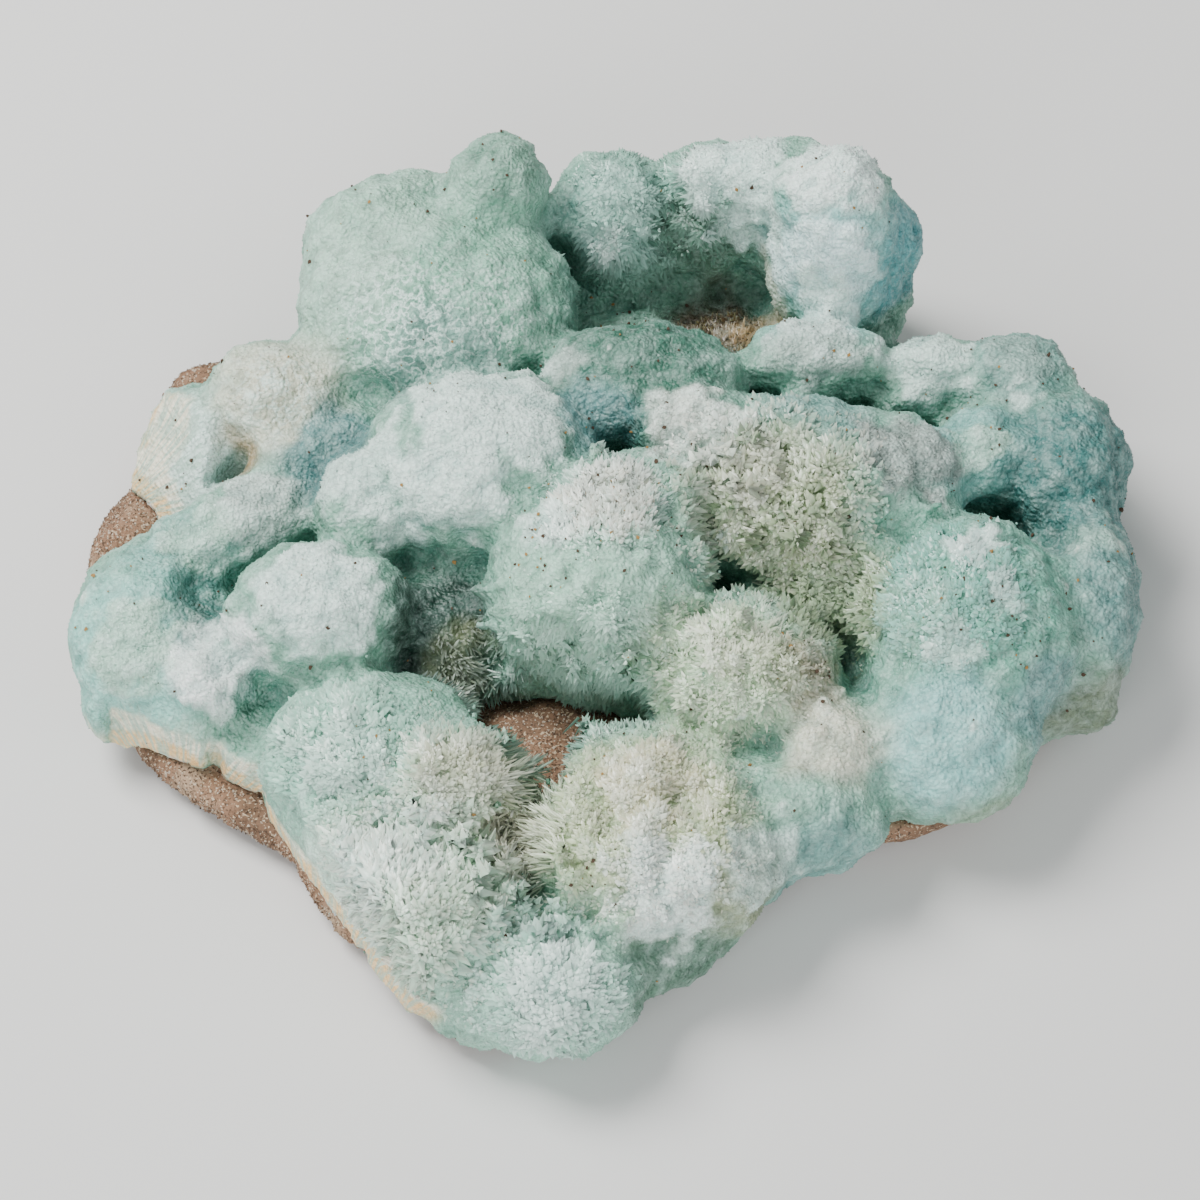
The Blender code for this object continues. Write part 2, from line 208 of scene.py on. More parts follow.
rock = refined_copy("matrix_rock", "sandy_matrix", ROCK_VOXEL, ROCK_ROUNDING)
rock_places = read(rock.data, "co")
rock_normals = read(rock.data, "normal")
off_floor = step(rock_places[:, 2], 0.3 * MM, 1.2 * MM)
rock_push = 0.35 * fractal(rock_places, ROCK_LUMP, 4) + 0.2 * fractal(rock_places, ROCK_PIT, 2, 4.0)
rock_places += rock_normals * (rock_push * off_floor * MM)[:, None]
write_places(rock.data, rock_places)
rock_tone = fractal(rock_places, ROCK_CLOUD, 3, 9.0)
rock_tint = mix(linear(ROCK_BROWN), linear(ROCK_DARK), step(-rock_tone, 0.0, 0.7) * 0.5)
rock_tint = mix(rock_tint, linear(ROCK_PALE), step(rock_tone, 0.1, 0.8) * 0.5)
paint(rock.data, "tint", rock_tint)
rock.data.materials.clear()
rock.data.materials.append(sandy_rock_material())
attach(rock, "root")
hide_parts("matrix_rock")

# The crust: one mass of aragonite, grown as rounded lobes that run together. Its body is
# a waxy, translucent mint to aqua, darkened in the creases by painted shade, with white
# frost on many tops. It was broken off along the lower left, where its fibres and bands show.
CRUST_VOXEL = 0.84 * MM
CRUST_ROUNDING = 6
CREASE_ROUNDING = 60
CREASE_DEEPENING = 0.6
BIG_KNOB = 4.4 * MM
SMALL_KNOB = 2.3 * MM
JAG = 2.6 * MM
BREAK_EDGE = 5 * MM
TINT_EDGE = 8 * MM
FROST_EDGE = 4 * MM
TINT_CLOUD = 3.2 * MM
LOBE_BUMP_DEPTH = 0.45 * MM
# How far the light that reaches a place is looked for, and along how many rays
SKY_REACH = 14 * MM
SKY_RAYS = 10
# How often the clouds, round cells, white net, fibres and grain repeat in a metre
CLOUD_SCALE = 620
CELL_SCALE = 1150
NET_SCALE = 560
FIBRE_SCALE = 1500
LOBE_GRAIN_SCALE = 2200
# How much red, green and blue the painted shade of a full crease takes away
CREASE_SHADE_LOSS = (0.54, 0.39, 0.39)
WHITE = (222, 246, 238)
GREYWHITE = (192, 207, 200)
PALE_MINT = (180, 217, 197)
MINT = (138, 188, 166)
DEEP_MINT = (108, 156, 134)
AQUA = (134, 198, 190)
BLUE = (106, 156, 156)
TEAL = (72, 120, 108)
OLIVE = (142, 150, 112)
LEAF = (186, 204, 166)
CREAM = (226, 226, 204)
TAN = (214, 178, 128)
BROWN = (80, 66, 42)
FIBRE = (164, 196, 180)

# The body's own colours: a patch's name, its middle and reach in mm, its colour and strength
BODY_TINTS = (
    ("back_dome", (-25, 40, 32), 24, (130, 188, 161), 0.9),
    ("back_dome_left", (-38, 44, 30), 15, PALE_MINT, 0.9),
    ("back_ridge", (-30, 54, 38), 12, (166, 208, 186), 0.9),
    ("knob", (-16, 57, 42), 8, (124, 170, 148), 0.9),
    ("back_crease", (-8, 42, 24), 9, TEAL, 0.6),
    ("rear_hollow", (3, 54, 28), 14, (156, 200, 186), 1.0),
    ("rear_hollow_right", (15, 55, 27), 10, (88, 128, 106), 0.9),
    ("rusty_hollow_floor", (17, 47, 16), 10, (84, 62, 34), 1.0),
    ("pillar", (33, 44, 34), 15, (172, 232, 229), 0.8),
    ("pillar_side", (46, 48, 28), 12, (90, 168, 172), 1.0),
    ("pillar_root", (23, 46, 18), 7, TAN, 0.7),
    ("right_inner", (54, 13, 28), 12, AQUA, 0.9),
    ("right_crest_body", (61, 31, 27), 10, (110, 160, 150), 0.9),
    ("right_rim", (70, 12, 22), 17, (60, 122, 118), 1.0),
    ("right_rim_low", (71, -6, 18), 14, (98, 146, 144), 0.9),
    ("right_corner", (68, -20, 11), 10, (112, 124, 98), 0.9),
    ("aqua_dome", (50, -14, 30), 20, (108, 178, 156), 0.9),
    ("aqua_dome_left", (42, -16, 28), 9, MINT, 0.8),
    ("aqua_dome_low", (47, -33, 22), 12, (150, 212, 207), 1.0),
    ("aqua_dome_flank", (61, -25, 20), 9, BLUE, 0.8),
    ("right_skirt", (52, -37, 8), 9, OLIVE, 0.5),
    ("smooth_dome", (5, 26, 32), 18, (62, 118, 98), 1.0),
    ("white_dome_rim", (-24, 26, 30), 12, (126, 166, 158), 0.7),
    ("white_dome_end", (-2, 17, 29), 8, BLUE, 0.9),
    ("mid_groove", (-27, 12, 28), 6, BLUE, 0.8),
    ("cream_dome", (-48, 25, 27), 13, CREAM, 0.8),
    ("blue_saddle", (-40, 16, 25), 10, (92, 142, 140), 1.0),
    ("olive_groove", (-54, 19, 18), 7, (158, 128, 80), 1.0),
    ("fan", (-64, 19, 17), 13, WHITE, 0.9),
    ("fan_root", (-69, 15, 8), 6, TAN, 0.9),
    ("left_ridge_side", (-60, 0, 20), 10, AQUA, 0.7),
    ("left_body", (-67, -16, 20), 16, (154, 220, 208), 0.9),
    ("left_crevice", (-57, -10, 19), 8, (66, 124, 116), 0.9),
    ("teal_gap", (-24, -10, 18), 11, (38, 74, 62), 1.0),
    ("grey_gap", (-20, -15, 14), 7, (160, 168, 126), 0.7),
    ("teal_gap_low", (-32, -25, 20), 8, DEEP_MINT, 0.8),
    ("fore_left", (-37, -35, 26), 17, (160, 214, 192), 0.9),
    ("fore_left_knob", (-18, -42, 26), 10, (138, 146, 92), 0.9),
    ("centre_dome", (-3, -17, 30), 18, (172, 218, 194), 0.9),
    ("crest_back", (30, 18, 30), 11, BLUE, 0.6),
    ("crest", (24, 2, 31), 15, (152, 170, 124), 0.9),
    ("crest_flank", (31, -9, 22), 12, (150, 166, 122), 0.8),
    ("low_dome", (16, -24, 27), 14, (204, 231, 190), 0.9),
    ("low_dome_side", (27, -22, 22), 8, (150, 132, 100), 0.8),
    ("low_button", (31, -32, 23), 9, CREAM, 0.9),
    ("front_dome", (5, -46, 25), 19, (190, 205, 156), 0.9),
    ("front_slope", (20, -54, 16), 10, (158, 160, 122), 0.8),
    ("front_side", (10, -61, 9), 12, (84, 122, 100), 0.9),
    ("front_side_right", (30, -46, 10), 12, BLUE, 0.7),
    ("brush", (-26, -54, 22), 18, (204, 236, 210), 0.9),
    ("long_side", (-36, -52, 14), 12, (220, 248, 230), 0.9),
    ("brush_gap", (-13, -47, 17), 8, (232, 224, 186), 0.9),
    ("tip", (-8, -68, 16), 15, (182, 228, 208), 0.9),
)
# The frost on top of the body, in the same way: patches with ragged edges
FROST = (
    ("pillar_top", (33, 54, 46), 12, (236, 254, 248), 1.0),
    ("pillar_ridge", (19, 59, 41), 12, WHITE, 1.0),
    ("pillar_ridge_left", (10, 60, 41), 6, WHITE, 0.9),
    ("pillar_left_edge", (23, 53, 32), 10, WHITE, 1.0),
    ("pillar_left_low", (25, 48, 22), 6, CREAM, 0.8),
    ("pillar_face", (31, 41, 34), 12, (226, 253, 253), 1.0),
    ("pillar_low", (31, 38, 29), 7, WHITE, 0.8),
    ("pillar_foot", (30, 31, 29), 8, GREYWHITE, 0.7),
    ("hollow_flecks", (-2, 51, 26), 5, WHITE, 0.7),
    ("right_step", (47, 31, 27), 9, WHITE, 0.8),
    ("right_crest", (60, 32, 29), 7, GREYWHITE, 0.3),
    ("right_crest_low", (60, 24, 29), 5, WHITE, 0.7),
    ("right_inner_top", (54, 13, 29), 6, PALE_MINT, 0.8),
    ("rim_flecks", (69, 0, 23), 6, PALE_MINT, 0.4),
    ("aqua_dome_white", (51, -6, 33), 5, WHITE, 1.0),
    ("aqua_dome_spot", (55, -14, 31), 4, WHITE, 0.7),
    ("aqua_dome_middle", (48, -21, 29), 5, WHITE, 0.5),
    ("white_dome", (-16, 15, 37), 17, WHITE, 1.0),
    ("white_dome_low", (-22, 4, 33), 11, WHITE, 1.0),
    ("white_mid", (-35, 7, 30), 9, WHITE, 0.85),
    ("white_mid_low", (-29, 1, 26), 6, WHITE, 0.8),
    ("cream_dome_top", (-47, 23, 29), 9, (208, 210, 186), 0.9),
    ("fan_top", (-64, 20, 18), 12, WHITE, 0.8),
    ("left_ridge", (-49, 7, 23), 9, GREYWHITE, 0.9),
    ("left_ridge_low", (-58, 2, 21), 8, PALE_MINT, 0.8),
    ("white_left", (-40, -13, 30), 13, WHITE, 1.0),
    ("white_small", (-54, -20, 22), 10, (244, 255, 251), 1.0),
    ("left_body_top", (-67, -16, 21), 9, PALE_MINT, 0.9),
    ("fore_left_top", (-36, -38, 27), 9, WHITE, 0.4),
    ("knob_top", (-19, -40, 28), 8, (222, 226, 200), 0.5),
    ("centre_cap", (0, -1, 37), 10, (226, 226, 210), 0.9),
    ("centre_cap_low", (-8, -5, 34), 5, WHITE, 0.8),
    ("crest_cap", (12, 14, 33), 10, (232, 240, 230), 0.85),
    ("crest_top", (20, 5, 34), 7, CREAM, 0.6),
    ("crest_end", (43, 10, 32), 10, (144, 154, 149), 0.9),
    ("low_dome_top", (18, -23, 30), 8, (234, 240, 208), 0.7),
    ("low_button_top", (31, -32, 25), 7, CREAM, 0.8),
    ("front_dome_top", (6, -41, 27), 11, (218, 210, 176), 0.7),
    ("front_ledge", (8, -55, 20), 10, (236, 252, 244), 1.0),
    ("front_ledge_right", (20, -50, 19), 8, WHITE, 0.7),
    ("smooth_dome_edge", (-6, 27, 33), 5, GREYWHITE, 0.6),
    ("brush_top", (-30, -50, 23), 10, WHITE, 0.7),
    ("tip_top", (-7, -69, 17), 9, WHITE, 0.6),
)
# Where white flecks run through the body like a net: middle, reach in mm and strength
FLECKS = (((-29, 32, 34), 12, 1.0), ((-17, 34, 32), 9, 0.7), ((-47, 24, 28), 8, 0.7))

# The broken faces: the name, a point on each in mm, the way it faces, how far it spreads,
# how far below the point its fibres fan out from, and how high above the rock it reaches
BREAKS = (
    ("long_edge", (-34, -54.5, 5), (-0.79, -0.59, 0.14), 26, 30, 5),
    ("left_edge", (-58.6, -27, 6), (-0.42, -0.88, 0.20), 15, 12, 8),
    ("fan_face", (-66.6, 22, 14), (-0.72, -0.34, 0.60), 14, 13, 30),
)
# The bands of the broken faces: the height above the rock in mm that each ends at, and its
# colour
BANDS = ((0.9, (240, 232, 238)), (3.8, (252, 208, 142)), (6.5, (252, 246, 220)))
# Where the surface is jagged: the middle, the reach in mm and how much
JAGGED = (
    ((25, 2, 30), 17, 0.9), ((16, -24, 27), 13, 0.5), ((5, -46, 25), 17, 0.4),
    ((-21, -41, 26), 13, 0.7), ((-25, -55, 21), 15, 0.6), ((-3, -22, 24), 13, 0.5),
    ((46, -12, 31), 12, 0.6), ((7, 54, 28), 14, 0.6), ((-8, -67, 16), 12, 0.7),
    ((0, -1, 36), 10, 0.6), ((12, 14, 33), 9, 0.5), ((-37, -35, 26), 12, 0.5),
)


def near(places, middle, reach):
    """1 at the middle of a patch, falling smoothly to nothing past its reach."""
    distance = np.linalg.norm(places - np.array(middle) * MM, axis=1) / (reach * MM)
    return np.exp(-1.6 * distance ** 3)


def open_sky(places, normals, tree, reach, rays, rng):
    """How much of the sky each place sees, from 0 in a crack to 1 on an open top."""
    seen = np.zeros(len(places))
    spread = rng.normal(size=(rays, 3)) * 0.75
    starts = places + normals * 0.25 * MM
    for ray in spread:
        aims = normals + ray + np.array((0, 0, 0.35))
        aims /= np.linalg.norm(aims, axis=1)[:, None]
        hits = [
            tree.ray_cast(start, aim, reach)[0] is None
            for start, aim in zip(starts.tolist(), aims.tolist())
        ]
        seen += np.array(hits, float)
    return seen / rays


def tree_of(obj):
    return BVHTree.FromObject(obj, bpy.context.evaluated_depsgraph_get())


def rounder_places(obj, iterations):
    """Where a mesh's vertices would lie if it were smoothed that many times more."""
    smooth = obj.modifiers.new("rounder", "SMOOTH")
    smooth.factor = 0.5
    smooth.iterations = iterations
    graph = bpy.context.evaluated_depsgraph_get()
    places = read(obj.evaluated_get(graph).data, "co")
    obj.modifiers.remove(smooth)
    return places


def knobs(places, size):
    """Rounded knobs of the given size side by side: high in their middles, about 0.5 to 0."""
    return 0.5 - np.array([
        noise.voronoi(point, distance_metric="DISTANCE", exponent=2.5)[0][0]
        for point in (places / size).tolist()
    ])


def on_break(places, normals, above_rock):
    """How much each place belongs to a broken face, 0 to 1, and where it is on its fibres."""
    share = np.zeros(len(places))
    fibres = np.zeros_like(places)
    ragged = fractal(places, BREAK_EDGE, 3, 4.0)
    for _, point, facing, spread, drop, top in BREAKS:
        facing = np.array(facing) / np.linalg.norm(facing)
        across = np.cross((0, 0, 1), facing)
        across /= np.linalg.norm(across)
        offset = places - np.array(point) * MM
        flat = 1 - step(np.abs(offset @ facing), 0.8 * MM, 1.8 * MM)
        turned = step(normals @ facing, 0.70, 0.90)
        within = 1 - step(np.linalg.norm(offset, axis=1), spread * MM, spread * 1.25 * MM)
        low = 1 - step(above_rock / MM + 2.0 * ragged, top - 1.0, top + 0.5)
        here = flat * turned * within * low
        side, rise = offset @ across, offset @ np.cross(facing, across) + drop * MM
        turn = np.arctan2(side, rise) * (drop + 8) * MM
        run = np.hypot(side, rise) * 0.08
        fibres = np.where((here > share)[:, None], np.stack([turn, run, run], axis=1), fibres)
        share = np.maximum(share, here)
    return share, fibres


def crust_colour(places, relief, depth, broken, above_rock):
    """The crust's colour, body, frost and painted shade in the creases, and how frosted it is."""
    warp = np.stack([fractal(places, TINT_EDGE, 3, shift) for shift in (1.0, 5.0, 9.0)], axis=1)
    warped = places + warp * 2.0 * MM
    ragged = fractal(places, FROST_EDGE, 4, 3.0) + 0.6 * relief
    colours = np.tile(linear(MINT), (len(places), 1))
    for _, middle, reach, colour, strength in BODY_TINTS:
        share = step(near(warped, middle, reach), 0.1, 0.8)
        colours = mix(colours, linear(colour), share * strength)
    clouds = fractal(places, TINT_CLOUD, 4, 7.0)
    colours = mix(colours, linear(WHITE), step(clouds, 0.0, 0.6) * 0.15 * (1 - depth))
    colours[:, :3] *= 1 - 0.22 * step(-clouds, 0.0, 0.6)[:, None]
    frosted = np.zeros(len(places))
    for _, middle, reach, colour, strength in FROST:
        share = step(near(warped, middle, reach) + 0.30 * ragged, 0.35, 0.70)
        colours = mix(colours, linear(colour), share * strength * (1 - 0.6 * depth))
        frosted = np.maximum(frosted, share * strength)
    raised = step(relief, 0.1, 0.7) * (0.1 + 0.3 * frosted) * (1 - depth)
    colours = mix(colours, linear(WHITE), raised)
    # Painted shade: darker deep in the creases. In the small hollows between the knobs it is partly
    # painted shade and partly the crystal's deeper colour where less frost lies.
    shade = 0.85 * depth + 0.35 * step(depth, 0.3, 0.6) - 0.35 * step(depth, 0.75, 1.0)
    shade += step(-relief, 0.0, 0.8) * (0.3 + 0.2 * frosted) * (1 - broken)
    colours[:, :3] *= 1 - np.clip(shade, 0, 1.4)[:, None] * np.array(CREASE_SHADE_LOSS)
    heights = above_rock / MM + 0.6 * ragged
    top = 0.0
    for band_top, colour in BANDS:
        band = step(heights, top - 0.3, top + 0.3)
        band *= 1 - step(heights, band_top - 0.4, band_top + 0.4)
        colours = mix(colours, linear(colour), band * broken)
        top = band_top
    return colours, frosted


def aragonite_material(name, roughness, translucence):
    """Waxy translucent crystal, with its tint painted on."""
    material, nodes, links, shader = new_material(name)
    tint = painted(nodes, "tint")
    shader.inputs["Roughness"].default_value = roughness
    shader.inputs["IOR"].default_value = 1.55
    shader.inputs["Subsurface Weight"].default_value = translucence
    shader.inputs["Subsurface Radius"].default_value = (0.8, 1.0, 0.9)
    shader.inputs["Subsurface Scale"].default_value = 1.6 * MM
    links.new(tint, shader.inputs["Base Color"])
    return material, nodes, links, shader, tint


def math_node(nodes, links, operation, first, second=0.0):
    """One step of arithmetic on one or two values, each a socket or a fixed number."""
    result = nodes.new("ShaderNodeMath")
    result.operation = operation
    feed(links, first, result.inputs[0])
    feed(links, second, result.inputs[1])
    return result.outputs[0]


def lobes_material():
    """The crystal with clouds and fine knobs, and marked nets of flecks and fibres."""
    material, nodes, links, shader, colour = aragonite_material("lobed_aragonite", 0.5, 0.36)
    place = nodes.new("ShaderNodeTexCoord").outputs["Object"]
    white = tuple(linear(WHITE))
    cloud = noise_node(nodes, links, place, CLOUD_SCALE, 3)
    cloud = ramp_node(nodes, links, cloud, 0.44, 0.66, 0.0, 0.18)
    colour = blend_node(nodes, links, cloud, colour, white)
    cells = nodes.new("ShaderNodeTexVoronoi")
    cells.inputs["Scale"].default_value = CELL_SCALE
    links.new(place, cells.inputs["Vector"])
    fine = cells.outputs["Distance"]
    # Darker in the small valleys between the round cells: partly painted shade, partly the
    # crystal's deeper colour there.
    between = ramp_node(nodes, links, fine, 0.30, 0.75, 1.0, 0.80)
    colour = blend_node(nodes, links, 1.0, colour, between, "MULTIPLY")
    marks = nodes.new("ShaderNodeSeparateColor")
    links.new(painted(nodes, "marks"), marks.inputs["Color"])
    ridge = noise_node(nodes, links, place, NET_SCALE, 4)
    ridge = math_node(nodes, links, "SUBTRACT", ridge, 0.5)
    ridge = math_node(nodes, links, "ABSOLUTE", ridge)
    net = ramp_node(nodes, links, ridge, 0.0, 0.065, 1.0, 0.0)
    net = math_node(nodes, links, "MULTIPLY", net, marks.outputs["Green"])
    colour = blend_node(nodes, links, net, colour, white)
    fibre_place = nodes.new("ShaderNodeAttribute")
    fibre_place.attribute_name = "fibre_place"
    fibre = noise_node(nodes, links, fibre_place.outputs["Vector"], FIBRE_SCALE, 2)
    fibre = ramp_node(nodes, links, fibre, 0.42, 0.58, 0.0, 0.8)
    fibre = math_node(nodes, links, "MULTIPLY", fibre, marks.outputs["Red"])
    colour = blend_node(nodes, links, fibre, colour, tuple(linear(FIBRE)))
    links.new(colour, shader.inputs["Base Color"])
    grain = noise_node(nodes, links, place, LOBE_GRAIN_SCALE, 0)
    height = math_node(nodes, links, "SUBTRACT", grain, fine)
    bump_node(nodes, links, shader, height, 0.9, LOBE_BUMP_DEPTH)
    return material


crust = refined_copy("aragonite_crust", "aragonite_lobes", CRUST_VOXEL, CRUST_ROUNDING)
crust_places = read(crust.data, "co")
crust_normals = read(crust.data, "normal")
to_rounder = rounder_places(crust, CREASE_ROUNDING) - crust_places
hollow = np.einsum("ij,ij->i", to_rounder, crust_normals)
rock_tree = tree_of(rock)
above_rock = np.array([rock_tree.find_nearest(place)[3] for place in crust_places.tolist()])
broken, fibres = on_break(crust_places, crust_normals, above_rock)
jagged = np.zeros(len(crust_places))
for middle, reach, amount in JAGGED:
    jagged = np.maximum(jagged, near(crust_places, middle, reach) * amount)
push = knobs(crust_places, BIG_KNOB) + knobs(crust_places, SMALL_KNOB) * 0.8
push += fractal(crust_places, JAG, 3, 2.0) * (0.35 + 0.7 * jagged)
push *= 1 - 0.85 * broken
relief = np.clip((push - push.mean()) / (2 * push.std()), -1, 1)
push -= np.clip(hollow / MM * CREASE_DEEPENING, -0.3, 1.2)
push *= step(crust_places[:, 2], 1.5 * MM, 3.0 * MM)
crust_places += crust_normals * (push * MM)[:, None]
write_places(crust.data, crust_places)
crust_normals = read(crust.data, "normal")
crust_tree = tree_of(crust)
sky = open_sky(
    crust_places, crust_normals, crust_tree, SKY_REACH, SKY_RAYS, np.random.default_rng(3)
)
# How deep in a crease each place lies, from how little sky it sees and how hollow it is: this sets
# the painted shade in the creases.
depth = np.clip((1 - sky) * 0.8 + step(hollow, 0.1 * MM, 1.3 * MM) * 0.6, 0, 1)
crust_tint, frosted = crust_colour(crust_places, relief, depth, broken, above_rock)
paint(crust.data, "tint", crust_tint)
flecks = np.zeros(len(crust_places))
for middle, reach, amount in FLECKS:
    flecks = np.maximum(flecks, near(crust_places, middle, reach) * amount)
marks = np.ones((len(broken), 4))
marks[:, 0] = broken
marks[:, 1] = flecks
paint(crust.data, "marks", marks)
fibre_layer = crust.data.attributes.new("fibre_place", "FLOAT_VECTOR", "POINT")
fibre_layer.data.foreach_set("vector", fibres.astype(np.float32).ravel())
crust.data.materials.clear()
crust.data.materials.append(lobes_material())
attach(crust, "root")
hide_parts("aragonite_crust")

# The crystals on the crust: low blunt grains over every lobe, and where the surface is
# jagged, blades and needles in small tufts. They grew out of the lobes, so each stands
# with its foot sunk in the surface, and joined meshes hold them.
FROST_GRAINS = 75000
FROST_HALF_WIDTH = (0.22, 0.44)
# How much of a frost grain's length is below the surface
FROST_SUNK = 0.4
# How far the foot of a tuft's crystal goes below the surface
TUFT_SUNK = 0.4 * MM
CRYSTAL_ROUNDNESS = 0.55
# A field is of needles where its widest crystals have a smaller half width than this, in mm
NEEDLE_LIMIT = 0.4


def crystal_shape(sides, waist, shoulder):
    """A crystal one unit high and two wide: a prism with a pointed end, closed."""
    bm = bmesh.new()
    made = bmesh.ops.create_cone(
        bm, cap_ends=True, segments=sides, radius1=1, radius2=waist, depth=shoulder
    )
    bmesh.ops.translate(bm, vec=(0, 0, shoulder / 2), verts=made["verts"])
    if waist > 0:
        top = [face for face in bm.faces if face.normal.z > 0.9]
        poked = bmesh.ops.poke(bm, faces=top)
        for vert in poked["verts"]:
            vert.co.z = 1.0
    bmesh.ops.triangulate(bm, faces=bm.faces)
    points = np.array([vert.co[:] for vert in bm.verts])
    faces = np.array([[vert.index for vert in face.verts] for face in bm.faces])
    bm.free()
    return points, faces


def joined_crystals(name, shape, feet, facing, axes, widths, depths, lengths, roots, tips, rng):
    """One mesh of many crystals, shaded softly, as light passes through their edges.

    Each has its foot, the way its ground faces, its own axis, its size and two colours.
    """
    points, faces = shape
    axes = axes / np.linalg.norm(axes, axis=1)[:, None]
    across = np.cross(axes, rng.normal(size=axes.shape))
    across /= np.linalg.norm(across, axis=1)[:, None]
    along = np.cross(axes, across)
    aside = (
        points[None, :, 0, None] * (across * widths[:, None])[:, None, :]
        + points[None, :, 1, None] * (along * depths[:, None])[:, None, :]
    )
    rise = points[None, :, 2, None] * (axes * lengths[:, None])[:, None, :]
    verts = feet[:, None, :] + aside + rise
    shading = (facing * 0.85 + axes * 0.15)[:, None, :]
    shading = shading + aside / widths[:, None, None] * CRYSTAL_ROUNDNESS
    heights = np.broadcast_to(points[:, 2], verts.shape[:2])
    colours = mix(roots[:, None, :], tips[:, None, :], heights)
    count, corners = len(feet), len(points)
    indices = faces[None, :, :] + (np.arange(count) * corners)[:, None, None]
    mesh = bpy.data.meshes.new(name)
    mesh.vertices.add(count * corners)
    mesh.vertices.foreach_set("co", verts.astype(np.float32).ravel())
    mesh.loops.add(indices.size)
    mesh.loops.foreach_set("vertex_index", indices.astype(np.int32).ravel())
    mesh.polygons.add(count * len(faces))
    mesh.polygons.foreach_set("loop_start", np.arange(0, indices.size, 3, dtype=np.int32))
    mesh.update(calc_edges=True)
    shading /= np.linalg.norm(shading, axis=2)[:, :, None]
    mesh.normals_split_custom_set_from_vertices(shading.reshape(-1, 3).tolist())
    paint(mesh, "tint", colours.reshape(-1, 4))
    obj = bpy.data.objects.new(name, mesh)
    bpy.context.collection.objects.link(obj)
    return obj


class Surface:
    """A mesh to scatter on: its triangles, and what is painted at its vertices."""

    def __init__(self, mesh, **fields):
        mesh.calc_loop_triangles()
        corners = np.empty(len(mesh.loop_triangles) * 3, np.int32)
        mesh.loop_triangles.foreach_get("vertices", corners)
        self.triangles = corners.reshape(-1, 3)
        self.places = read(mesh, "co")
        self.normals = read(mesh, "normal")
        self.fields = fields
        sides = self.places[self.triangles]
        self.areas = np.linalg.norm(
            np.cross(sides[:, 1] - sides[:, 0], sides[:, 2] - sides[:, 0]), axis=1
        ) / 2

    def scatter(self, count, weights, rng):
        """Places, normals and fields at random points, denser where weights are high."""
        share = self.areas * weights[self.triangles].mean(axis=1)
        chosen = rng.choice(len(share), size=count, p=share / share.sum())
        first, second = rng.random((2, count))
        flip = first + second > 1
        first, second = np.where(flip, 1 - first, first), np.where(flip, 1 - second, second)
        corner_shares = np.stack([1 - first - second, first, second], axis=1)
        corners = self.triangles[chosen]

        def between(values):
            return np.einsum("nc,nc...->n...", corner_shares, values[corners])

        normals = between(self.normals)
        normals /= np.linalg.norm(normals, axis=1)[:, None]
        fields = {key: between(value) for key, value in self.fields.items()}
        return between(self.places), normals, fields


def vary(rng, count, low, high):
    return rng.uniform(low, high, count)


# The crystals take the crust's tint at their feet, with its painted crease shade.
crust_surface = Surface(crust.data, tint=crust_tint, depth=depth, jagged=jagged, frosted=frosted)
upward = step(crust_normals[:, 2], -0.7, 0.0)
frost_material = aragonite_material("frost_aragonite", 0.45, 0.0)[0]
clear_material = aragonite_material("clear_tipped_aragonite", 0.28, 0.25)[0]


def finish_crystals(obj, material):
    obj.data.materials.append(material)
    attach(obj, "root")


grain = crystal_shape(3, 0, 1.0)
rng = np.random.default_rng(21)
grain_weights = (0.15 + 0.85 * upward) * (1 - broken) * (1 - 0.75 * flecks)
for part in range(3):
    count = FROST_GRAINS // 3
    feet, normals, fields = crust_surface.scatter(count, grain_weights, rng)
    frost = fields["frosted"]
    sizes = vary(rng, count, *FROST_HALF_WIDTH) * MM
    sizes *= 0.85 + 0.35 * np.maximum(frost, fields["jagged"])
    lengths = sizes * vary(rng, count, 0.8, 1.3) * (1 + 0.6 * frost)
    axes = normals + rng.normal(size=normals.shape) * (0.35 + 0.2 * fields["jagged"][:, None])
    bright = vary(rng, count, 0.88, 1.06)[:, None]
    roots = fields["tint"] * bright
    whitened = vary(rng, count, 0.0, 1.0) * (0.12 + 0.38 * frost) * (1 - 0.6 * fields["depth"])
    tips = mix(roots, linear(WHITE), whitened)
    finish_crystals(joined_crystals(
        f"frost_grains_{part}", grain, feet - normals * (lengths * FROST_SUNK)[:, None],
        normals, axes, sizes, sizes * 0.8, lengths, roots, tips, rng,
    ), frost_material)

